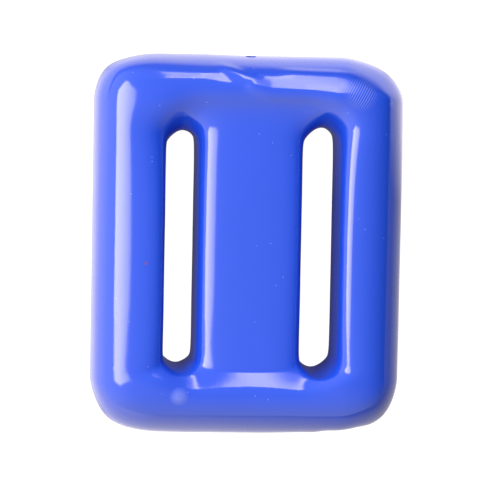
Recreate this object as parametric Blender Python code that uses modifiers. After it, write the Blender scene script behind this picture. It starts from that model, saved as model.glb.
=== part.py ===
"""Coated diving weight for a 50 mm weight belt: a cast lead core inside one dipped vinyl coat.

Metres, +Z up. The weight lies on its back with the front, which has the sunken belt seat, facing up.
The two belt slots run along Y, and the origin is the middle of the back face. +Y is the top end, where
the slots' mouths are longer and the coat has its hook hole.
"""

import math
from types import SimpleNamespace

import bmesh
import bpy
from mathutils import Vector

TOP = 1
BOTTOM = -1

# Finished size over the coat. The sides are widest a little above the back, and each rim's spread and
# drop are how far its round reaches in over the face and along the side.
WIDTH = 0.075
LENGTH = 0.0915
THICKNESS = 0.024
SIDE_HEIGHT = 0.0050
FRONT_RIM_SPREAD = 0.0082
FRONT_RIM_DROP = 0.0140
BACK_RIM_SPREAD = 0.0134
BACK_RIM_RISE = 0.0054
CORNER_ROUND = 0.0133

# Belt slots, measured where they are narrowest. They sit a little nearer to the bottom end.
SLOT_WIDTH = 0.0081
SLOT_LENGTH = 0.0582
SLOT_SPACING = 0.0337
SLOT_SHIFT = 0.00105
SLOT_WALL_TOP = 0.0140

# Their mouths flare towards the bar and the frame, and further at the top end than at the bottom one
INNER_MOUTH = 0.00455
OUTER_MOUTH = 0.00435
MOUTH_SPREAD = 0.0003
MOUTH_DROP = 0.00125
TOP_MOUTH_SPREAD = 0.0030
TOP_MOUTH_WIDEN = 0.0008
TOP_MOUTH_DEPTH = 0.0044
BOTTOM_MOUTH_SPREAD = 0.0004
BOTTOM_MOUTH_DEPTH = 0.0033

# Belt seat: the bar between the slots is lower than the frame round it, with a ramp at each end
SEAT_DEPTH = 0.0028
SEAT_CROWN = 0.00015
SEAT_FLAT_LENGTH = 0.048
TOP_SEAT_OVERRUN = 0.00595
TOP_CREST_OVERRUN = 0.00895
BOTTOM_SEAT_OVERRUN = 0.00145
BOTTOM_CREST_OVERRUN = 0.00485

# Coat, and the hole that the dipping hook leaves in its top end
COAT_WALL = 0.0016
COAT_CLEARANCE = 0.0003
HOOK_HOLE = 0.0026
HOOK_HOLE_DEPTH = 0.0070

# How finely the surfaces are divided
COAT_LEVELS = 2
CORE_LEVELS = 1
HOLE_SIDES = 24
SAME_PLACE = 1e-6

VINYL_BLUE = (0.018, 0.080, 0.700, 1.0)
LEAD_GREY = (0.170, 0.175, 0.185, 1.0)


def clear_scene():
    for old in list(bpy.data.objects):
        bpy.data.objects.remove(old, do_unlink=True)


def new_collection(name, hidden=False):
    made = bpy.data.collections.new(name)
    made.hide_render = hidden
    bpy.context.scene.collection.children.link(made)
    return made


def material(name, colour, roughness, metallic):
    made = bpy.data.materials.new(name)
    made.use_nodes = True
    shader = made.node_tree.nodes["Principled BSDF"]
    shader.inputs["Base Color"].default_value = colour
    shader.inputs["Roughness"].default_value = roughness
    shader.inputs["Metallic"].default_value = metallic
    return made


def object_from(name, shape, collection):
    """Puts a bmesh into a new smooth-shaded object."""
    mesh = bpy.data.meshes.new(name)
    shape.to_mesh(mesh)
    shape.free()
    mesh.shade_smooth()
    made = bpy.data.objects.new(name, mesh)
    collection.objects.link(made)
    return made


def as_cutter(cutter):
    cutter.hide_render = True
    cutter.display_type = "WIRE"
    return cutter


def cut(target, cutter):
    boolean = target.modifiers.new(cutter.name, "BOOLEAN")
    boolean.operation = "DIFFERENCE"
    boolean.solver = "EXACT"
    boolean.object = cutter


def at(place, wanted):
    return abs(abs(place) - wanted) < SAME_PLACE


def within(place, limit):
    return abs(place) < limit + SAME_PLACE


def form_size(skin):
    """Every length of the form when its whole surface is set in by skin from the finished one.

    The lengths that differ between the two ends are held by end, TOP or BOTTOM. A slot's end bulges by
    more as the skin widens it, and a quarter of the skin keeps the seat's end clear of it."""
    half = Vector((WIDTH / 2 - skin, LENGTH / 2 - skin, THICKNESS / 2 - skin))
    slot_round = SLOT_WIDTH / 2 + skin
    slot_end = {end: SLOT_LENGTH / 2 + skin - end * SLOT_SHIFT for end in (TOP, BOTTOM)}
    seat_overrun = {TOP: TOP_SEAT_OVERRUN, BOTTOM: BOTTOM_SEAT_OVERRUN}
    crest_overrun = {TOP: TOP_CREST_OVERRUN, BOTTOM: BOTTOM_CREST_OVERRUN}
    return SimpleNamespace(
        half=half,
        slot_round=slot_round,
        slot_end=slot_end,
        slot_inner=SLOT_SPACING / 2 - slot_round,
        slot_outer=SLOT_SPACING / 2 + slot_round,
        bar_edge=SLOT_SPACING / 2 - SLOT_WIDTH / 2 - INNER_MOUTH,
        side_crest=SLOT_SPACING / 2 + SLOT_WIDTH / 2 + OUTER_MOUTH,
        seat_end={end: slot_end[end] + seat_overrun[end] + skin / 4 for end in slot_end},
        end_crest={end: slot_end[end] + crest_overrun[end] - skin for end in slot_end},
        mouth_spread={TOP: TOP_MOUTH_SPREAD, BOTTOM: BOTTOM_MOUTH_SPREAD},
        mouth_widen={TOP: TOP_MOUTH_WIDEN, BOTTOM: 0},
        mouth_depth={TOP: TOP_MOUTH_DEPTH, BOTTOM: BOTTOM_MOUTH_DEPTH},
        front_spread=FRONT_RIM_SPREAD - skin,
        front_drop=FRONT_RIM_DROP - skin,
        back_spread=BACK_RIM_SPREAD - skin,
        back_rise=BACK_RIM_RISE - skin,
        corner=CORNER_ROUND - skin,
        side_height=SIDE_HEIGHT - THICKNESS / 2,
        wall_top=SLOT_WALL_TOP - THICKNESS / 2,
    )


def loop_cut(cage, axis, place, faces=None):
    """Adds a loop of edges where the axis has this value, round the whole cage or only through faces."""
    normal = Vector((axis == "x", axis == "y", axis == "z"))
    chosen = cage.faces[:] if faces is None else faces
    edges = {edge for face in chosen for edge in face.edges}
    corners = {corner for face in chosen for corner in face.verts}
    geometry = list(corners) + list(edges) + list(chosen)
    bmesh.ops.bisect_plane(cage, geom=geometry, plane_co=normal * place, plane_no=normal)


def over_slot(place, size, side):
    """True over the slot on this side of the middle."""
    in_width = size.slot_inner < side * place.x < size.slot_outer
    return in_width and -size.slot_end[BOTTOM] < place.y < size.slot_end[TOP]


def open_slot(cage, size, side):
    """Takes out the front and back faces over a slot and joins the two holes with its walls."""
    faces = [face for face in cage.faces if over_slot(face.calc_center_median(), size, side)]
    bmesh.ops.delete(cage, geom=faces, context="FACES")
    rims = [edge for edge in cage.edges if edge.is_boundary]
    return bmesh.ops.bridge_loops(cage, edges=rims)["faces"]


def slotted_block(size, fine):
    """The coarse cage: a block with its two slots, and a loop wherever the surface starts to turn.

    A fine cage has one more loop in the slots, under their mouths, which keeps the walls below upright."""
    cage = bmesh.new()
    bmesh.ops.create_cube(cage, size=2)
    bmesh.ops.scale(cage, vec=size.half, verts=cage.verts)
    for place in (size.bar_edge, size.slot_inner, SLOT_SPACING / 2, size.slot_outer, size.side_crest):
        loop_cut(cage, "x", place)
        loop_cut(cage, "x", -place)
    for end in (TOP, BOTTOM):
        slot_end = size.slot_end[end]
        for place in (slot_end - size.slot_round, slot_end, size.seat_end[end], size.end_crest[end]):
            loop_cut(cage, "y", end * place)
    for side in (-1, 1):
        walls = open_slot(cage, size, side)
        if fine:
            loop_cut(cage, "z", size.wall_top, walls)
    loop_cut(cage, "z", size.side_height)
    return cage


def pull_in(radius, reach):
    """How far a cage corner stands in from its plane for the smooth edge to turn at this radius.

    The smooth surface passes a corner at a sixth of both its neighbours and four sixths of itself, and
    a round passes it at the gap below. Reach is how far off the cage's next loop is, and a corner that
    isn't pulled in at all already gives the tightest turn that the reach allows."""
    gap = radius * (1 - 1 / math.sqrt(2))
    return max(0, (6 * gap - reach) / 4)


def rim_moves(place, size):
    """How far in from each plane a vertex of the rim stands, as (x, y, z)."""
    inward = Vector((0, 0, 0))
    end = TOP if place.y > 0 else BOTTOM
    reaches = (size.half.x - size.side_crest, size.half.y - size.end_crest[end])
    on_planes = (at(place.x, size.half.x), at(place.y, size.half.y))
    for axis, reach in enumerate(reaches):
        if not on_planes[axis]:
            continue
        front = pull_in(size.front_spread, reach)
        back = pull_in(size.back_spread, reach)
        if at(place.z, size.half.z):
            inward[axis] = front if place.z > 0 else back
        else:
            # The loop along the side stands out, so that the finished side reaches its full size
            inward[axis] = -(front + back) / 5
        if all(on_planes):
            inward[axis] += pull_in(size.corner, reach)
    if any(on_planes) and at(place.z, size.half.z):
        if place.z > 0:
            inward.z = pull_in(size.front_drop, size.half.z - size.side_height)
        else:
            inward.z = pull_in(size.back_rise, size.half.z + size.side_height)
    return inward


def slot_end_moves(place, size):
    """How far a vertex of a slot's end moves along Y so that the end comes out as a half circle.

    The smooth end passes each corner of its cage a sixth of the half width in from the wall, where a
    half circle has dropped back by this share of its radius. The middle stands out by half as much as
    the corners stand in, which keeps the slot's full length."""
    end = TOP if place.y > 0 else BOTTOM
    across = abs(place.x) - SLOT_SPACING / 2
    if not (at(place.y, size.slot_end[end]) and within(across, size.slot_round)):
        return Vector((0, 0, 0))
    drop = 1 - math.sqrt(1 - (5 / 6) ** 2)
    short = size.slot_round * (6 * drop - 1) / 3.5
    return Vector((0, -short / 2 if within(across, 0) else short, 0))


def seat_drop(place, size):
    """How far the belt seat is below the frame here: all of it on the bar, half over a slot's middle."""
    end = TOP if place.y > 0 else BOTTOM
    if not within(place.y, size.seat_end[end]):
        return 0
    if within(place.x, size.slot_inner):
        return SEAT_DEPTH
    if within(place.x, SLOT_SPACING / 2):
        return SEAT_DEPTH / 2
    return 0


def mouth_moves(place, size):
    """How far a vertex on the edge of a slot's mouth moves out and down for the mouth to flare.

    Its ends have a depth of their own. At the bottom end the frame side is shallower by a fifth and the
    bar side deeper by a third, because the ramp of the belt seat crosses it there."""
    end = TOP if place.y > 0 else BOTTOM
    across = abs(place.x) - SLOT_SPACING / 2
    if not (within(across, size.slot_round) and within(place.y, size.slot_end[end])):
        return None
    outward = 0 if within(across, 0) else math.copysign(1, across)
    if not at(place.y, size.slot_end[end]):
        return Vector((-outward * MOUTH_SPREAD, 0, MOUTH_DROP + seat_drop(place, size)))
    widen = size.mouth_widen[end] if outward else 0
    share = 1
    if end == BOTTOM and outward:
        share = 4 / 5 if outward > 0 else 4 / 3
    spread = Vector((outward * (MOUTH_SPREAD + widen), size.mouth_spread[end] + widen / 2, 0))
    return Vector((0, 0, size.mouth_depth[end] * share)) - spread


def weight_form(name, skin, levels, collection, fine=False):
    """The weight's smooth form, its whole surface set in by skin from the finished one.

    Every such form splits its warped faces along the same corners, so that the core stays parallel to
    the hollow that it lies in."""
    size = form_size(skin)
    cage = slotted_block(size, fine)
    for corner in cage.verts:
        inward = rim_moves(corner.co, size) + slot_end_moves(corner.co, size)
        if at(corner.co.z, size.half.z) and corner.co.z > 0:
            mouth = mouth_moves(corner.co, size)
            if mouth:
                inward += mouth
            else:
                inward.z += seat_drop(corner.co, size)
        corner.co -= Vector([math.copysign(1, c) * move for c, move in zip(corner.co, inward)])
    bmesh.ops.translate(cage, vec=(0, 0, THICKNESS / 2), verts=cage.verts)
    bmesh.ops.recalc_face_normals(cage, faces=cage.faces)

    made = object_from(name, cage, collection)
    smooth = made.modifiers.new("smooth form", "SUBSURF")
    smooth.levels = levels
    smooth.render_levels = levels
    facets = made.modifiers.new("facets", "TRIANGULATE")
    facets.quad_method = "FIXED"
    return made


def seat_leveller(collection):
    """A block over the bar that takes the crown off its middle, so that the belt bears on a true flat."""
    block = bmesh.new()
    bmesh.ops.create_cube(block, size=1)
    bar = form_size(0).bar_edge
    height = THICKNESS / 2
    bmesh.ops.scale(block, vec=(2 * bar, SEAT_FLAT_LENGTH, height), verts=block.verts)
    seat = THICKNESS - SEAT_DEPTH - SEAT_CROWN
    bmesh.ops.translate(block, vec=(0, -SLOT_SHIFT, seat + height / 2), verts=block.verts)
    return as_cutter(object_from("seat_leveller", block, collection))


def hook_hole(name, depth, collection):
    """A round bar at the middle of the top end, reaching in by depth, for cutting the hook's hole."""
    bar = bmesh.new()
    bmesh.ops.create_cone(
        bar,
        cap_ends=True,
        segments=HOLE_SIDES,
        radius1=HOOK_HOLE / 2,
        radius2=HOOK_HOLE / 2,
        depth=2 * depth,
    )
    made = object_from(name, bar, collection)
    made.rotation_euler = (math.pi / 2, 0, 0)
    made.location = (0, LENGTH / 2, THICKNESS / 2)
    return as_cutter(made)


def lead_core(parts, cutters):
    """The cast lead that gives the weight its mass, with the blind hole that the dipping hook holds."""
    core = weight_form("lead_core", COAT_WALL + COAT_CLEARANCE, CORE_LEVELS, parts)
    core.data.materials.append(material("cast lead", LEAD_GREY, 0.55, 1.0))
    cut(core, hook_hole("core_hook_hole", HOOK_HOLE_DEPTH, cutters))


def vinyl_coating(parts, cutters):
    """The dipped skin: the finished form, hollow for the core and open where the hook was."""
    coat = weight_form("vinyl_coating", 0, COAT_LEVELS, parts, fine=True)
    coat.data.materials.append(material("blue vinyl plastisol", VINYL_BLUE, 0.12, 0.0))
    cut(coat, seat_leveller(cutters))
    cut(coat, as_cutter(weight_form("coat_cavity", COAT_WALL, CORE_LEVELS, cutters)))
    cut(coat, hook_hole("coat_hook_hole", COAT_WALL + COAT_CLEARANCE, cutters))


def main():
    clear_scene()
    parts = new_collection("diving_weight")
    cutters = new_collection("cutters", hidden=True)
    lead_core(parts, cutters)
    vinyl_coating(parts, cutters)


main()
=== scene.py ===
"""Looks of the coated diving weight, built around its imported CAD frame.

Metres, in the frame's own axes: the weight lies on its back on the table, +Z up, +Y towards its top
end. Sizes named in millimetres are turned to metres by mm(). Dictionaries keyed by LEFT and RIGHT, TOP
and BOTTOM, or a pair of these, hold what differs from side to side or from end to end.
"""

import math
from types import SimpleNamespace

import bpy
import bmesh
from mathutils import Matrix, Vector, noise


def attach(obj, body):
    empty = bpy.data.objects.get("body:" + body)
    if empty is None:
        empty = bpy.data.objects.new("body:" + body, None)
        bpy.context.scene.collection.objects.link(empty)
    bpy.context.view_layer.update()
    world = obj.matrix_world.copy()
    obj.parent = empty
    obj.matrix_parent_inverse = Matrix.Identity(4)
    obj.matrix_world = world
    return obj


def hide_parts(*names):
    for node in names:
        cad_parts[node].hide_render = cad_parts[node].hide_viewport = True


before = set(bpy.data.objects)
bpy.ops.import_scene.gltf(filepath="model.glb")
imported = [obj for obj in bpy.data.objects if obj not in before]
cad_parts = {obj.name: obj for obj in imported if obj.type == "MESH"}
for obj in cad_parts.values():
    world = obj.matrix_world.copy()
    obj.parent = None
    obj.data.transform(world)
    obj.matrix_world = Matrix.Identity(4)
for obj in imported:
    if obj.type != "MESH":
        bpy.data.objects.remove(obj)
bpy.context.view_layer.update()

LEFT = BOTTOM = -1
RIGHT = TOP = 1


def mm(length):
    return length / 1000


# The finished form over the coat, as the CAD model has it. The sides are widest between the two side
# heights. A rim's spread and drop are how far its round reaches in over the face and along the side.
WIDTH = mm(75)
LENGTH = mm(91.5)
THICKNESS = mm(24)
SIDE_HEIGHTS = (mm(5), mm(14))
RIM_SPREAD = mm(12.3)
FRONT_RIM_DROP = mm(8.5)
BACK_RIM_DROP = mm(5.7)

# What the dip made uneven there: two softer rims, a top rim that stands further in towards the right, by
# this share of the way, and four corners that the cage draws in by different amounts along X and Y
RIGHT_RIM_SOFTER = mm(2.3)
BOTTOM_RIM_SOFTER = mm(3.0)
TOP_RIM_SLANT = 0.06
CORNER_PULLS = {
    (LEFT, TOP): (mm(2.5), mm(1.8)),
    (RIGHT, TOP): (mm(3.6), mm(3.0)),
    (LEFT, BOTTOM): (mm(3.3), mm(2.4)),
    (RIGHT, BOTTOM): (mm(2.7), mm(2.8)),
}

# Belt slots: where their inner and outer walls and their ends lie. The coat built up unevenly in them, so
# the left one is a little narrower than the right one and their ends lean: END_LEANS holds how far each
# end's inner corner, middle and outer corner stand out.
SLOT_INNERS = {LEFT: mm(12.8), RIGHT: mm(12.87)}
SLOT_OUTERS = {LEFT: mm(20.25), RIGHT: mm(21.25)}
SLOT_ENDS = {TOP: mm(28.05), BOTTOM: mm(29.98)}
END_LEANS = {
    (LEFT, TOP): (mm(-0.1), mm(-0.45), mm(-1.6)),
    (RIGHT, TOP): (mm(-0.6), mm(0.6), mm(1.0)),
    (LEFT, BOTTOM): (mm(-0.4), mm(-0.35), mm(-0.9)),
    (RIGHT, BOTTOM): (mm(0), mm(0.8), mm(0)),
}

# Slot walls: the cage's loop under the mouths is raised, which keeps the walls below it upright, and its
# two sides stand apart by the draft
WALL_DRAFT = mm(0.15)
INNER_WALL_RISE = mm(2.0)
OUTER_WALL_RISE = mm(4.0)

# Slot mouths: how far their edges spread over the bar and over the frame, and how far they drop. At the
# ends they also spread along the slot and widen across it, and END_MOUTH_DEPTHS holds how deep the inner
# corner, the middle and the outer corner are.
INNER_MOUTH_SPREAD = mm(0.6)
OUTER_MOUTH_SPREAD = mm(0.2)
MOUTH_DROP = mm(1.25)
END_MOUTH_SPREAD = {
    (LEFT, TOP): mm(2.8),
    (RIGHT, TOP): mm(2.1),
    (LEFT, BOTTOM): mm(0.4),
    (RIGHT, BOTTOM): mm(0.4),
}
END_MOUTH_WIDEN = {TOP: mm(0.35), BOTTOM: mm(0.2)}
END_MOUTH_DEPTHS = {
    TOP: (mm(4.4), mm(4.8), mm(4.0)),
    BOTTOM: (mm(4.4), mm(3.2), mm(2.3)),
}

# Belt seat: how much lower the bar between the slots is than the frame round it, half the bar's flat
# width, and where the seat ends. Its ramps start RAMP_START earlier on the bar and MOUTH_RAMP_DROP lower
# over the slots, and they rise to the crests, where the frame is highest.
SEAT_DEPTH = mm(2.8)
BAR_EDGE = mm(8.25)
SEAT_ENDS = {TOP: mm(34.0), BOTTOM: mm(31.2)}
RAMP_START = {TOP: mm(0), BOTTOM: mm(1.5)}
MOUTH_RAMP_DROP = {TOP: mm(0.2), BOTTOM: mm(0)}
SIDE_CRESTS = {LEFT: mm(25.25), RIGHT: mm(24.8)}
END_CRESTS = {TOP: mm(37.0), BOTTOM: mm(34.3)}

# The coat, and the hole that the dipping hook leaves in its top end
COAT_WALL = mm(1.6)
HOOK_HOLE = mm(2.6)
HOOK_BAR_LENGTH = mm(6)
HOOK_BAR_SIDES = 32

# How finely the surfaces are divided, and where the front is finer still for the marks of the dip
SKIN_LEVELS = 3
CAVITY_LEVELS = 2
FINE_TOP_END = mm(31)
FINE_TOP_HEIGHT = mm(13)
FINE_BOTTOM_END = mm(-29)
FINE_BOTTOM_HEIGHT = mm(18)
SMOOTH_ANGLE = math.radians(50)
SAME_PLACE = 1e-6

# Waviness of the coat: slow waves and a share of finer ones. It fades out towards the flat back.
WAVE_SIZE = mm(11)
WAVE_HEIGHT = mm(0.035)
FINER_WAVES = 2.3
FINER_WAVES_SHARE = 0.4
WAVES_FADE = mm(3)

# Marks of the dip: each is a line of points in mm, with the half width and the height of its soft ridge,
# also in mm; a dent has a height below zero. A ridge rises over this share of its length at either end.
RIDGE_TAPER = 0.25
DIP_MARKS = (
    # the fold where the coat drained back from the hook
    (((-9.0, 44.0, 18.8), (-6.2, 42.8, 20.7), (-3.0, 41.0, 22.2), (0.0, 39.4, 23.0), (3.5, 37.8, 23.5)),
     2.7, 0.34),
    # the thick lip that the fold runs into
    (((-2.0, 39.8, 23.0), (3.5, 37.6, 23.5), (12.0, 37.0, 23.6), (20.0, 36.8, 23.7), (29.0, 37.0, 23.2)),
     3.3, 0.42),
    # the lip's outer shoulder, and the narrower one left of the fold
    (((5.0, 42.6, 21.2), (14.0, 42.5, 21.3), (26.0, 42.1, 21.2)), 2.8, 0.26),
    (((-34.0, 40.7, 21.0), (-21.0, 40.8, 22.3), (-15.0, 41.0, 22.3), (-5.0, 41.8, 22.0)), 2.4, 0.22),
    # a small wrinkle at the top left corner
    (((-33.0, 42.1, 13.2), (-33.1, 41.0, 17.5), (-33.3, 38.3, 20.8)), 1.1, 0.16),
    # a soft round drip mark
    (((-16.7, -35.4, 23.5),), 2.2, 0.18),
    # where the bottom edge rises early towards the right corner
    (((17, -45.6, 9), (24, -45.3, 9), (31, -44.2, 9)), 9.0, -0.6),
    # where the top edge stands out on the left, and the bottom edge in the middle
    (((-30, 45.7, 9), (-20, 45.7, 9), (-2, 45.7, 9)), 9.0, 0.2),
    (((-24, -45.6, 9), (-4, -45.7, 9), (14, -45.7, 9)), 9.0, 0.22),
    # a small nick of built-up vinyl on the right rim
    (((35.2, -34.5, 19.7),), 0.7, 0.25),
)

# Handling marks: fine lines this far apart, in mm, that rise to the right
HATCH_SPACING = 0.56
HATCH_TURNS = 2 * math.pi / HATCH_SPACING

# The camera: how far off it is, how wide a strip it sees there and what is in the middle of its view. It
# stands a little to the left of straight above and towards the top end, and is rolled a little.
CAMERA_DISTANCE = 0.80
VIEW_WIDTH = mm(120.85)
VIEW_CENTRE = (mm(0.65), mm(-1.07), mm(12))
CAMERA_LEFT_LEAN = math.radians(5)
CAMERA_TOP_LEAN = math.radians(5)
CAMERA_ROLL = math.radians(-1.1)


def deselect_all():
    for each in bpy.context.selected_objects:
        each.select_set(False)


def only(piece):
    """Makes this piece the one that is selected and active."""
    deselect_all()
    piece.hide_set(False)
    piece.select_set(True)
    bpy.context.view_layer.objects.active = piece


def added(name):
    """Names what an operator has just added, and its mesh."""
    piece = bpy.context.active_object
    piece.name = name
    piece.data.name = name
    return piece


def apply_place(piece):
    only(piece)
    bpy.ops.object.transform_apply(location=True, rotation=True, scale=True)


def apply_modifiers(piece):
    only(piece)
    for modifier in list(piece.modifiers):
        bpy.ops.object.modifier_apply(modifier=modifier.name)


def pick(piece, kind, wanted):
    """Selects, in edit mode, the faces or edges of the piece for which wanted(element) is true."""
    bpy.ops.mesh.select_mode(type={"edges": "EDGE", "faces": "FACE"}[kind])
    bpy.ops.mesh.select_all(action="DESELECT")
    cage = bmesh.from_edit_mesh(piece.data)
    for element in getattr(cage, kind):
        if wanted(element):
            element.select_set(True)
    cage.select_flush_mode()
    bmesh.update_edit_mesh(piece.data)


def cut_loop(axis, place):
    """Adds a loop of edges round the whole cage where the axis has this value."""
    normal = Vector((axis == "x", axis == "y", axis == "z"))
    bpy.ops.mesh.select_all(action="SELECT")
    bpy.ops.mesh.bisect(plane_co=normal * place, plane_no=normal)


def at(place, wanted):
    return abs(abs(place) - wanted) < SAME_PLACE


def within(place, limit):
    return abs(place) < limit + SAME_PLACE


def pull_in(radius, reach):
    """How far a cage corner stands in from its plane for the smooth edge to turn at this radius.

    The smooth surface passes a corner at a sixth of both its neighbours and four sixths of itself, and
    a round passes it at the gap below. Reach is how far off the cage's next loop is."""
    gap = radius * (1 - 1 / math.sqrt(2))
    return max(0, (6 * gap - reach) / 4)


def form_size(skin):
    """Every length of the form when its whole surface is set in by skin from the finished one.

    A slot's end bulges by more as the skin widens it, and a quarter of the skin more keeps the seat's
    end clear of it."""
    slot_inner = {side: SLOT_INNERS[side] - skin for side in (RIGHT, LEFT)}
    slot_outer = {side: SLOT_OUTERS[side] + skin for side in (RIGHT, LEFT)}
    lower, upper = [height - THICKNESS / 2 for height in SIDE_HEIGHTS]
    half = Vector((WIDTH / 2 - skin, LENGTH / 2 - skin, THICKNESS / 2 - skin))
    return SimpleNamespace(
        skin=skin,
        half=half,
        lower=lower,
        upper=upper,
        rim_spread=RIM_SPREAD - skin,
        front_pull=pull_in(FRONT_RIM_DROP - skin, half.z - upper),
        back_pull=pull_in(BACK_RIM_DROP - skin, half.z + lower),
        slot_inner=slot_inner,
        slot_outer=slot_outer,
        slot_middle={side: (slot_inner[side] + slot_outer[side]) / 2 for side in (RIGHT, LEFT)},
        slot_round={side: (slot_outer[side] - slot_inner[side]) / 2 for side in (RIGHT, LEFT)},
        slot_end={end: SLOT_ENDS[end] + skin for end in (TOP, BOTTOM)},
        seat_end={end: SEAT_ENDS[end] + skin * 5 / 4 for end in (TOP, BOTTOM)},
    )


def slotted_block(name, size):
    """The coarse cage: a block with its two slots, and a loop wherever the surface starts to turn."""
    bpy.ops.mesh.primitive_cube_add(size=2, location=(0, 0, 0), scale=size.half)
    block = added(name)
    apply_place(block)

    bpy.ops.object.mode_set(mode="EDIT")
    for side in (RIGHT, LEFT):
        inner, middle, outer = size.slot_inner[side], size.slot_middle[side], size.slot_outer[side]
        for place in (BAR_EDGE, inner, middle, outer, SIDE_CRESTS[side]):
            cut_loop("x", side * place)
    for end, half_width in ((TOP, size.slot_round[RIGHT]), (BOTTOM, size.slot_round[LEFT])):
        slot_end = size.slot_end[end]
        for place in (slot_end - half_width, slot_end, size.seat_end[end], END_CRESTS[end]):
            cut_loop("y", end * place)
    for side in (RIGHT, LEFT):

        def over_slot(face):
            middle = face.calc_center_median()
            across = size.slot_inner[side] < side * middle.x < size.slot_outer[side]
            return across and -size.slot_end[BOTTOM] < middle.y < size.slot_end[TOP]

        pick(block, "faces", over_slot)
        bpy.ops.mesh.delete(type="FACE")
        pick(block, "edges", lambda edge: edge.is_boundary)
        bpy.ops.mesh.bridge_edge_loops()
    cut_loop("z", size.upper)
    cut_loop("z", size.lower)
    bpy.ops.mesh.select_all(action="SELECT")
    bpy.ops.mesh.normals_make_consistent(inside=False)
    bpy.ops.object.mode_set(mode="OBJECT")
    return block


def side_and_end(place):
    """Which side and which end of the weight a place belongs to."""
    return RIGHT if place.x > 0 else LEFT, TOP if place.y > 0 else BOTTOM


def rim_moves(place, size):
    """How far in from each plane a corner of the cage's rim stands, as (x, y, z)."""
    side, end = side_and_end(place)
    inward = Vector((0, 0, 0))
    reaches = (size.half.x - SIDE_CRESTS[side], size.half.y - END_CRESTS[end])
    on_planes = (at(place.x, size.half.x), at(place.y, size.half.y))
    on_front = at(place.z, size.half.z) and place.z > 0
    on_back = at(place.z, size.half.z) and place.z < 0
    softer = (RIGHT_RIM_SOFTER * (side == RIGHT), BOTTOM_RIM_SOFTER * (end == BOTTOM))
    for axis, reach in enumerate(reaches):
        if not on_planes[axis]:
            continue
        pull = pull_in(size.rim_spread, reach)
        if on_front:
            inward[axis] = pull + softer[axis]
            inward.z = size.front_pull
        elif on_back:
            inward[axis] = pull
            inward.z = size.back_pull
        else:
            # The loops along the side stand out a little, so that the finished side reaches its full size
            inward[axis] = -pull / 23
        if all(on_planes):
            # A corner's round gets smaller as the skin sets it in
            inward[axis] += CORNER_PULLS[side, end][axis] - size.skin / 5
    if on_front and end == TOP and on_planes[1]:
        inward.y += place.x * TOP_RIM_SLANT
    return inward


def by_corner(across, inner, middle, outer):
    """Which of the three is for this place across a slot: at its inner wall, its middle or outer wall."""
    if within(across, 0):
        return middle
    return outer if across > 0 else inner


def slot_moves(place, size):
    """How far a corner of a slot's ends and walls moves.

    The smooth end passes each corner of its cage a sixth of the half width in from the wall, where a
    half circle has dropped back by this share of its radius. The middle stands out by half as much as
    the corners stand in, which keeps the slot's full length. Then the ends lean as the coat left them."""
    side, end = side_and_end(place)
    inward = Vector((0, 0, 0))
    half_width = size.slot_round[side]
    across = abs(place.x) - size.slot_middle[side]
    if not (within(across, half_width) and within(place.y, size.slot_end[end])):
        return inward
    if at(place.y, size.slot_end[end]):
        drop = 1 - math.sqrt(1 - (5 / 6) ** 2)
        short = half_width * (6 * drop - 1) / 3.5
        inward.y = by_corner(across, short, -short / 2, short) - by_corner(across, *END_LEANS[side, end])
    elif at(place.z, size.upper) and not within(across, 0):
        inward.z = -OUTER_WALL_RISE if across > 0 else -INNER_WALL_RISE
        inward.x = -math.copysign(WALL_DRAFT, across)
    return inward


def seat_moves(place, size):
    """How far a corner on the front moves in and down for the belt seat and the slots' mouths."""
    side, end = side_and_end(place)
    inward = Vector((0, 0, 0))
    half_width = size.slot_round[side]
    across = abs(place.x) - size.slot_middle[side]
    over_slot = within(across, half_width)
    at_wall = at(across, half_width)
    if not within(place.y, size.seat_end[end]):
        return inward
    if within(place.x, size.slot_inner[side]):
        inward.z = SEAT_DEPTH
    elif within(place.x, size.slot_middle[side]):
        inward.z = SEAT_DEPTH / 2
    if at(place.y, size.seat_end[end]):
        if over_slot:
            inward.z += MOUTH_RAMP_DROP[end]
        if at(place.x, BAR_EDGE):
            inward.y += RAMP_START[end]
    if not (over_slot and within(place.y, size.slot_end[end])):
        return inward
    if at_wall:
        inward.x += -OUTER_MOUTH_SPREAD if across > 0 else INNER_MOUTH_SPREAD
    if not at(place.y, size.slot_end[end]):
        inward.z += MOUTH_DROP
        return inward
    inward.z = by_corner(across, *END_MOUTH_DEPTHS[end])
    inward.y -= END_MOUTH_SPREAD[side, end]
    if at_wall:
        inward.x -= math.copysign(END_MOUTH_WIDEN[end], across)
        inward.y -= END_MOUTH_WIDEN[end] / 2
    return inward


def weight_form(name, skin, levels):
    """The weight's smooth form, its whole surface set in by skin from the finished one."""
    size = form_size(skin)
    form = slotted_block(name, size)
    for corner in form.data.vertices:
        place = corner.co.copy()
        inward = rim_moves(place, size) + slot_moves(place, size)
        if at(place.z, size.half.z) and place.z > 0:
            inward += seat_moves(place, size)
        corner.co -= Vector([math.copysign(1, c) * move for c, move in zip(place, inward)])
        corner.co.z += THICKNESS / 2

    smooth = form.modifiers.new("smooth form", "SUBSURF")
    smooth.levels = levels
    smooth.render_levels = levels
    apply_modifiers(form)
    form.data.shade_smooth()
    return form


def refine(form, cuts, wanted):
    """Divides the faces whose middle is wanted, for detail finer than the rest of the mesh."""
    only(form)
    bpy.ops.object.mode_set(mode="EDIT")
    pick(form, "faces", lambda face: wanted(face.calc_center_median()))
    bpy.ops.mesh.subdivide(number_cuts=cuts, smoothness=1, quadcorner="INNERVERT")
    bpy.ops.object.mode_set(mode="OBJECT")


def vertices_and_normals(form):
    """Every vertex with its normal as it stands before any of them moves."""
    normals = [vertex.normal.copy() for vertex in form.data.vertices]
    return zip(form.data.vertices, normals)


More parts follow.
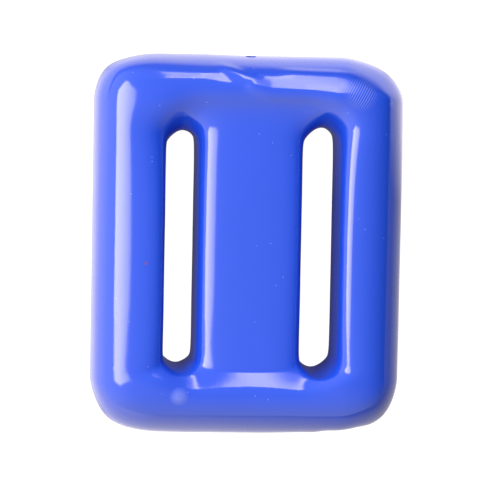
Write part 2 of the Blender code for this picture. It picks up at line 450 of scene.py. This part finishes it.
def distance_to_line(place, line):
    """How far a place is from a line of points, and how far along the line the nearest point is, 0 to 1."""
    if len(line) == 1:
        return (place - line[0]).length, 0.5
    nearest = (1.0, 0.0)
    for index, (start, stop) in enumerate(zip(line, line[1:])):
        along = (place - start).dot(stop - start) / (stop - start).length_squared
        along = min(1, max(0, along))
        away = (place - start.lerp(stop, along)).length
        nearest = min(nearest, (away, (index + along) / (len(line) - 1)))
    return nearest


def swell(form, line, width, height):
    """Raises a soft ridge of this half width along a line of points in mm, lower towards both its ends."""
    points = [Vector([mm(c) for c in point]) for point in line]
    lowest = [min(point[axis] for point in points) - width for axis in range(3)]
    highest = [max(point[axis] for point in points) + width for axis in range(3)]
    for vertex, normal in vertices_and_normals(form):
        if not all(low < c < high for low, c, high in zip(lowest, vertex.co, highest)):
            continue
        away, along = distance_to_line(vertex.co, points)
        if away < width:
            ends = min(1, min(along, 1 - along) / RIDGE_TAPER)
            vertex.co += normal * height * ends * (0.5 + 0.5 * math.cos(math.pi * away / width))


def settle_unevenly(form):
    """Gives the coat the slight waviness of a dip that drained and cured unevenly; its back stays flat."""
    for vertex, normal in vertices_and_normals(form):
        place = vertex.co / WAVE_SIZE
        waviness = noise.noise(place) + FINER_WAVES_SHARE * noise.noise(place * FINER_WAVES)
        above_back = min(1, max(0, vertex.co.z / WAVES_FADE))
        vertex.co += normal * WAVE_HEIGHT * waviness * above_back


def cut_out(form, cutter):
    """Takes the cutter out of the form and removes it."""
    boolean = form.modifiers.new(cutter.name, "BOOLEAN")
    boolean.operation = "DIFFERENCE"
    boolean.solver = "MANIFOLD"
    boolean.object = cutter
    apply_modifiers(form)
    bpy.data.objects.remove(cutter, do_unlink=True)


def hook_bar():
    """A round bar at the middle of the top end face, through the coat's wall."""
    bpy.ops.mesh.primitive_cylinder_add(
        vertices=HOOK_BAR_SIDES,
        radius=HOOK_HOLE / 2,
        depth=HOOK_BAR_LENGTH,
        location=(0, LENGTH / 2, THICKNESS / 2),
        rotation=(math.pi / 2, 0, 0),
    )
    bar = added("hook hole")
    apply_place(bar)
    return bar


def dipped_coat():
    """The coat: its outside with the marks of the dip, its hollow for the lead, and the hook's hole."""
    coat = weight_form("coat", 0, SKIN_LEVELS)
    refine(coat, 2, lambda middle: middle.y > FINE_TOP_END and middle.z > FINE_TOP_HEIGHT)
    refine(coat, 1, lambda middle: middle.y < FINE_BOTTOM_END and middle.z > FINE_BOTTOM_HEIGHT)
    settle_unevenly(coat)
    for line, width, height in DIP_MARKS:
        swell(coat, line, mm(width), mm(height))
    cut_out(coat, weight_form("coat hollow", COAT_WALL, CAVITY_LEVELS))
    cut_out(coat, hook_bar())
    only(coat)
    bpy.ops.object.shade_smooth_by_angle(angle=SMOOTH_ANGLE)
    return coat


def linear(colour):
    """The linear RGBA of an sRGB hex colour such as 4f6b2a."""
    channels = [int(colour[i:i + 2], 16) / 255 for i in (0, 2, 4)]
    return [c / 12.92 if c <= 0.04045 else ((c + 0.055) / 1.055) ** 2.4 for c in channels] + [1.0]


def node(tree, kind, settings=None, inputs=None):
    """Adds a shader node. settings are its own properties. inputs are values, or sockets or nodes to link
    from; a node stands for its first output."""
    made = tree.nodes.new(kind)
    for name, value in (settings or {}).items():
        setattr(made, name, value)
    for name, value in (inputs or {}).items():
        if isinstance(value, bpy.types.Node):
            value = value.outputs[0]
        if isinstance(value, bpy.types.NodeSocket):
            tree.links.new(value, made.inputs[name])
        else:
            made.inputs[name].default_value = value
    return made


def new_material(name):
    """An empty node material and its tree."""
    material = bpy.data.materials.new(name)
    material.use_nodes = True
    tree = material.node_tree
    tree.nodes.clear()
    return material, tree


def place_in_mm(tree):
    """The object's own coordinates, in millimetres."""
    where = node(tree, "ShaderNodeTexCoord").outputs["Object"]
    return node(tree, "ShaderNodeVectorMath", {"operation": "MULTIPLY"}, {0: where, 1: (1000, 1000, 1000)})


def axes_of(tree, output):
    """The three parts of one of Texture Coordinate's outputs."""
    where = node(tree, "ShaderNodeTexCoord")
    return node(tree, "ShaderNodeSeparateXYZ", inputs={"Vector": where.outputs[output]}).outputs


def near(tree, place, centre, edge, middle):
    """1 within middle mm of a centre in mm, fading to 0 at edge mm from it."""
    away = node(tree, "ShaderNodeVectorMath", {"operation": "DISTANCE"}, {0: place, 1: centre})
    return node(tree, "ShaderNodeMapRange", inputs={
        "Value": away.outputs["Value"], "From Min": edge, "From Max": middle})


def tinted(tree, colour, tint, share, strength=1):
    """A colour taken towards a tint by a share, 0 to 1, times a strength."""
    amount = node(tree, "ShaderNodeMath", {"operation": "MULTIPLY"}, {0: share, 1: strength})
    # A colour Mix has its two colours at sockets 6 and 7, and its result at output 2
    mixed = node(tree, "ShaderNodeMix", {"data_type": "RGBA"}, {0: amount, 6: colour, 7: linear(tint)})
    return mixed.outputs[2]


def weighted(tree, start, parts):
    """start plus the sum of each part's socket times its weight."""
    total = start
    for socket, weight in parts:
        total = node(tree, "ShaderNodeMath", {"operation": "MULTIPLY_ADD"}, {
            0: socket, 1: weight, 2: total})
    return total


def blue_vinyl():
    """PVC plastisol, dipped and oven-cured: a deep even blue under a wet gloss that is slightly uneven.

    The eye gets a faint orange peel in the highlights, a few pale specks of dust that cured into the
    skin, two small stains, a painted highlight on a drop mark, and a patch of fine handling marks near
    the top right corner whose crests are painted pale as a painted glint."""
    material, tree = new_material("dipped blue PVC plastisol")
    place = place_in_mm(tree)

    # slow mottling of the pigment, some 14 mm across
    mottle = node(tree, "ShaderNodeTexNoise", inputs={"Vector": place, "Scale": 1 / 14, "Detail": 2})
    colour = tinted(tree, linear("2451d6"), "2453dd", mottle.outputs["Fac"])

    # dust specks up to 0.3 mm across, in about one in eight of the cells of a 1.6 mm pattern
    cells = node(tree, "ShaderNodeTexVoronoi", inputs={"Vector": place, "Scale": 1 / 1.6})
    speck = node(tree, "ShaderNodeMapRange", inputs={
        "Value": cells.outputs["Distance"], "From Min": 0.11, "From Max": 0.05})
    chance = node(tree, "ShaderNodeSeparateColor", inputs={"Color": cells.outputs["Color"]})
    red = chance.outputs["Red"]
    chosen = node(tree, "ShaderNodeMath", {"operation": "GREATER_THAN"}, {0: red, 1: 0.87})
    colour = tinted(tree, colour, "7694f0", speck, chosen)

    # a reddish stain on the left band, a dark one on the bottom ramp, and a painted highlight: a pale round
    # patch on the drop mark's bump
    colour = tinted(tree, colour, "6a4aa0", near(tree, place, (-25.1, -3.5, 23.5), 0.6, 0.2))
    colour = tinted(tree, colour, "1a2a86", near(tree, place, (-4.6, -33.3, 22.5), 0.45, 0.1))
    # painted highlight where the drop mark's bump catches the light
    colour = tinted(tree, colour, "b9c6f6", near(tree, place, (-16.7, -35.4, 23.3), 2.4, 0.8), 0.22)

    # handling marks: a sine across the lines, only in their patch; the lines are real bumps, and their
    # crests are painted pale as a painted glint where they catch the gloss
    across = node(tree, "ShaderNodeVectorMath", {"operation": "DOT_PRODUCT"}, {
        0: place, 1: (0.87 * HATCH_TURNS, -0.5 * HATCH_TURNS, 0)})
    lines = node(tree, "ShaderNodeMath", {"operation": "SINE"}, {0: across.outputs["Value"]})
    handled = near(tree, place, (25.6, 37.6, 23.3), 4.4, 2.2)
    lines = node(tree, "ShaderNodeMath", {"operation": "MULTIPLY"}, {0: lines, 1: handled})
    # painted glint: the crests of the lines lightened in the colour
    painted_glint_crests = node(tree, "ShaderNodeMath", {"operation": "MAXIMUM"}, {0: lines, 1: 0})
    colour = tinted(tree, colour, "b9c6f6", painted_glint_crests, 0.32)

    # orange peel about 1.25 mm across and a few thousandths of a millimetre high, with the lines on it
    peel = node(tree, "ShaderNodeTexNoise", inputs={"Vector": place, "Scale": 1 / 1.25, "Detail": 3})
    height = weighted(tree, peel.outputs["Fac"], ((lines, 0.8),))
    skin = node(tree, "ShaderNodeBump", inputs={"Strength": 1.0, "Distance": mm(0.006), "Height": height})

    shader = node(tree, "ShaderNodeBsdfPrincipled", inputs={
        "Base Color": colour,
        "Roughness": 0.10,
        "IOR": 1.7,
        "Normal": skin,
    })
    node(tree, "ShaderNodeOutputMaterial", inputs={"Surface": shader})
    return material


def cast_lead():
    """Gravity-cast lead: a dull blue-grey with frosted patches and the fine grain of the mould."""
    material, tree = new_material("cast lead")
    place = place_in_mm(tree)
    frost = node(tree, "ShaderNodeTexNoise", inputs={"Vector": place, "Scale": 1 / 6, "Detail": 4})
    grain = node(tree, "ShaderNodeTexNoise", inputs={"Vector": place, "Scale": 1 / 0.6, "Detail": 2})
    skin = node(tree, "ShaderNodeBump", inputs={
        "Strength": 1.0, "Distance": mm(0.03), "Height": grain.outputs["Fac"]})
    shader = node(tree, "ShaderNodeBsdfPrincipled", inputs={
        "Base Color": tinted(tree, linear("66696e"), "8b8e92", frost.outputs["Fac"]),
        "Roughness": 0.5,
        "Metallic": 1.0,
        "Normal": skin,
    })
    node(tree, "ShaderNodeOutputMaterial", inputs={"Surface": shader})
    return material


def table_shine(tree):
    """How bright the gloss sees the table: a painted reflection that glows for glossy rays only.

    It is painted brighter towards the left, where the light comes from, with a painted glare close to the
    right half of the top end. It carries a painted shadow under the weight, and is dimmer well past the
    top end."""
    axes = axes_of(tree, "Object")
    from_left = node(tree, "ShaderNodeMapRange", inputs={
        "Value": axes["X"], "From Min": -0.08, "From Max": 0.08, "To Min": 1.9, "To Max": 0.35})
    right_half = node(tree, "ShaderNodeMapRange", inputs={
        "Value": axes["X"], "From Min": mm(-25), "From Max": mm(35), "To Min": 0, "To Max": 1.1})
    off_top = node(tree, "ShaderNodeMath", {"operation": "SUBTRACT"}, {0: axes["Y"], 1: mm(50)})
    off_top = node(tree, "ShaderNodeMath", {"operation": "ABSOLUTE"}, {0: off_top})
    glare = node(tree, "ShaderNodeMapRange", inputs={
        "Value": off_top, "From Min": mm(16), "From Max": mm(40), "To Min": right_half, "To Max": 0})
    shine = node(tree, "ShaderNodeMath", {"operation": "ADD"}, {0: from_left, 1: glare})

    # how far out a place is, with the extra length of the weight taken off along Y
    wide_x = node(tree, "ShaderNodeMath", {"operation": "ABSOLUTE"}, {0: axes["X"]})
    wide_y = node(tree, "ShaderNodeMath", {"operation": "ABSOLUTE"}, {0: axes["Y"]})
    wide_y = node(tree, "ShaderNodeMath", {"operation": "SUBTRACT"}, {0: wide_y, 1: mm(8)})
    beyond = node(tree, "ShaderNodeMath", {"operation": "MAXIMUM"}, {0: wide_x, 1: wide_y})
    # painted shadow: the gloss sees the table darker under and close round the weight
    painted_shadow = node(tree, "ShaderNodeMapRange", inputs={
        "Value": beyond, "From Min": mm(30), "From Max": mm(42), "To Min": 0.07, "To Max": 1})
    shine = node(tree, "ShaderNodeMath", {"operation": "MULTIPLY"}, {0: shine, 1: painted_shadow})
    past_top = node(tree, "ShaderNodeMapRange", inputs={
        "Value": axes["Y"], "From Min": mm(66), "From Max": mm(92), "To Min": 1, "To Max": 0.32})
    return node(tree, "ShaderNodeMath", {"operation": "MULTIPLY"}, {0: shine, 1: past_top})


def white_table():
    """White paper on a studio table. The camera sees it as plain white with the weight's shadow, the
    gloss sees the painted reflection, with its painted shadow and glare, that table_shine() makes, and all
    other light meets plain matt paper."""
    material, tree = new_material("white sweep paper")
    paper = node(tree, "ShaderNodeBsdfDiffuse", inputs={"Color": linear("909090")})
    white = node(tree, "ShaderNodeEmission", inputs={"Color": (1, 1, 1, 1), "Strength": 0.985})
    # painted reflection: a glow of the table that only glossy rays see
    shine = table_shine(tree)
    mirrored = node(tree, "ShaderNodeEmission", inputs={"Color": (1, 0.94, 1, 1), "Strength": shine})
    seen = node(tree, "ShaderNodeLightPath").outputs
    for_camera = node(tree, "ShaderNodeAddShader", inputs={0: paper, 1: white})
    for_others = node(tree, "ShaderNodeMixShader", inputs={
        "Fac": seen["Is Glossy Ray"], 1: paper, 2: mirrored})
    shown = node(tree, "ShaderNodeMixShader", inputs={
        "Fac": seen["Is Camera Ray"], 1: for_others, 2: for_camera})
    node(tree, "ShaderNodeOutputMaterial", inputs={"Surface": shown})
    return material


def world_light():
    """A soft studio, brightest overhead and towards the left and the top end, with white screens round it
    that only the gloss sees.

    The weights say how much brighter each gets along the direction's own axes."""
    world = bpy.data.worlds.new("studio")
    bpy.context.scene.world = world
    world.use_nodes = True
    tree = world.node_tree
    tree.nodes.clear()
    axes = axes_of(tree, "Generated")
    wide_x = node(tree, "ShaderNodeMath", {"operation": "ABSOLUTE"}, {0: axes["X"]})
    wide_y = node(tree, "ShaderNodeMath", {"operation": "ABSOLUTE"}, {0: axes["Y"]})
    soft = weighted(tree, 0.12, ((axes["X"], -0.56), (axes["Y"], 0.6), (axes["Z"], 0.79)))
    screens = weighted(tree, 0.58, ((axes["X"], -0.8), (wide_x, 0.2), (axes["Y"], -0.3), (wide_y, 0.35)))
    seen = node(tree, "ShaderNodeLightPath").outputs
    level = node(tree, "ShaderNodeMix", {"data_type": "FLOAT"}, {
        0: seen["Is Glossy Ray"], 2: soft, 3: screens})
    level = node(tree, "ShaderNodeMath", {"operation": "MAXIMUM"}, {0: level, 1: 0.02})
    sky = node(tree, "ShaderNodeBackground", inputs={"Color": (1, 1, 1, 1), "Strength": level})
    node(tree, "ShaderNodeOutputWorld", inputs={"Surface": sky})


def soft_box(name, azimuth, elevation, distance, size, power, aim):
    """A rectangular lamp; azimuth 0 is over the top end (+Y) and 90 over the left side (-X)."""
    a = math.radians(azimuth)
    e = math.radians(elevation)
    out = Vector((-math.sin(a) * math.cos(e), math.cos(a) * math.cos(e), math.sin(e)))
    bpy.ops.object.light_add(type="AREA", location=Vector(aim) + out * distance)
    lamp = bpy.context.active_object
    lamp.name = name
    lamp.data.name = name
    lamp.data.shape = "RECTANGLE"
    lamp.data.size, lamp.data.size_y = size
    lamp.data.energy = power
    lamp.visible_camera = False
    lamp.rotation_euler = out.to_track_quat("Z", "Y").to_euler()
    return lamp


def pointed_ends(tree, face, tips):
    """1 inside a shape on the lamp's face whose two ends narrow to a tip, and 0 outside it.

    tips holds the shares of the lamp's width over which its first and its last end do."""
    along = face["X"]
    first = node(tree, "ShaderNodeMapRange", inputs={"Value": along, "From Min": tips[0], "From Max": 0})
    last = node(tree, "ShaderNodeMapRange", inputs={"Value": along, "From Min": 1 - tips[1], "From Max": 1})
    tip = node(tree, "ShaderNodeMath", {"operation": "ADD"}, {0: first, 1: last})
    centred = node(tree, "ShaderNodeMath", {"operation": "SUBTRACT"}, {0: face["Y"], 1: 0.5})
    outward = node(tree, "ShaderNodeMath", {"operation": "ABSOLUTE"}, {0: centred})
    reach = weighted(tree, tip, ((outward, 2),))
    return node(tree, "ShaderNodeMapRange", inputs={"Value": reach, "From Min": 1.1, "From Max": 0.85})


def grade(lamp, axis, curve, tips=None):
    """Makes the lamp brighter in some places than in others.

    curve holds (place, level) pairs along the lamp's own X, its width, or Y, its height, from 0 to 1."""
    lamp.data.use_nodes = True
    tree = lamp.data.node_tree
    tree.nodes.clear()
    geometry = node(tree, "ShaderNodeNewGeometry")
    face = node(tree, "ShaderNodeSeparateXYZ", inputs={"Vector": geometry.outputs["Parametric"]}).outputs
    level = node(tree, "ShaderNodeFloatCurve", inputs={"Value": face[axis]})
    line = level.mapping.curves[0]
    line.points[0].location = curve[0]
    line.points[1].location = curve[-1]
    for point in curve[1:-1]:
        line.points.new(*point)
    for point in line.points:
        point.handle_type = "VECTOR"
    level.mapping.update()
    if tips:
        shape = pointed_ends(tree, face, tips)
        level = node(tree, "ShaderNodeMath", {"operation": "MULTIPLY"}, {0: level, 1: shape})
    glow = node(tree, "ShaderNodeEmission", inputs={"Color": (1, 0.89, 1, 1), "Strength": level})
    node(tree, "ShaderNodeOutputLight", inputs={"Surface": glow})


def studio_lamps():
    """A large soft box over the left side, and a narrower one past the top end and off to the right."""
    left_box = soft_box(
        "left soft box",
        azimuth=90,
        elevation=58,
        distance=0.9,
        size=(0.62, 0.62),
        power=10.5,
        aim=(0, mm(80), mm(12)),
    )
    grade(left_box, "Y", ((0, 1), (0.5, 0.78), (0.8, 0.5), (1, 0.3)), tips=(0.34, 0.2))
    top_box = soft_box(
        "top soft box",
        azimuth=0,
        elevation=36,
        distance=0.9,
        size=(0.36, 0.76),
        power=6.0,
        aim=(mm(180), 0, mm(12)),
    )
    fall_off = ((0.45, 0.2), (0.62, 0.6), (0.69, 0.9), (0.76, 0.85), (0.82, 0.72), (0.87, 0.3), (0.91, 0))
    grade(top_box, "X", ((0, 0), *fall_off, (1, 0)))


def photo_camera():
    """Looks down at the front from almost straight above, as the photograph does."""
    bpy.ops.object.camera_add(location=(0, 0, 1))
    camera = bpy.context.active_object
    camera.name = "photo camera"
    camera.data.sensor_width = 36
    camera.data.lens = camera.data.sensor_width * CAMERA_DISTANCE / VIEW_WIDTH
    turn = (
        Matrix.Rotation(CAMERA_LEFT_LEAN, 4, "Y").inverted()
        @ Matrix.Rotation(CAMERA_TOP_LEAN, 4, "X").inverted()
        @ Matrix.Rotation(-CAMERA_ROLL, 4, "Z")
    )
    back_off = Matrix.Translation((0, 0, CAMERA_DISTANCE))
    camera.matrix_world = Matrix.Translation(VIEW_CENTRE) @ turn @ back_off
    camera.data.clip_start = 0.01
    camera.data.clip_end = 10
    bpy.context.scene.camera = camera


def table_top():
    bpy.ops.mesh.primitive_plane_add(size=6, location=(0, 0, 0))
    floor = added("table")
    apply_place(floor)
    floor.data.materials.append(white_table())


deselect_all()
coat = dipped_coat()
coat.data.materials.clear()
coat.data.materials.append(blue_vinyl())
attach(coat, "root")
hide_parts("vinyl_coating")

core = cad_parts["lead_core"]
core.data.materials.clear()
core.data.materials.append(cast_lead())

table_top()
world_light()
studio_lamps()
photo_camera()

bpy.context.scene.view_settings.view_transform = "Standard"
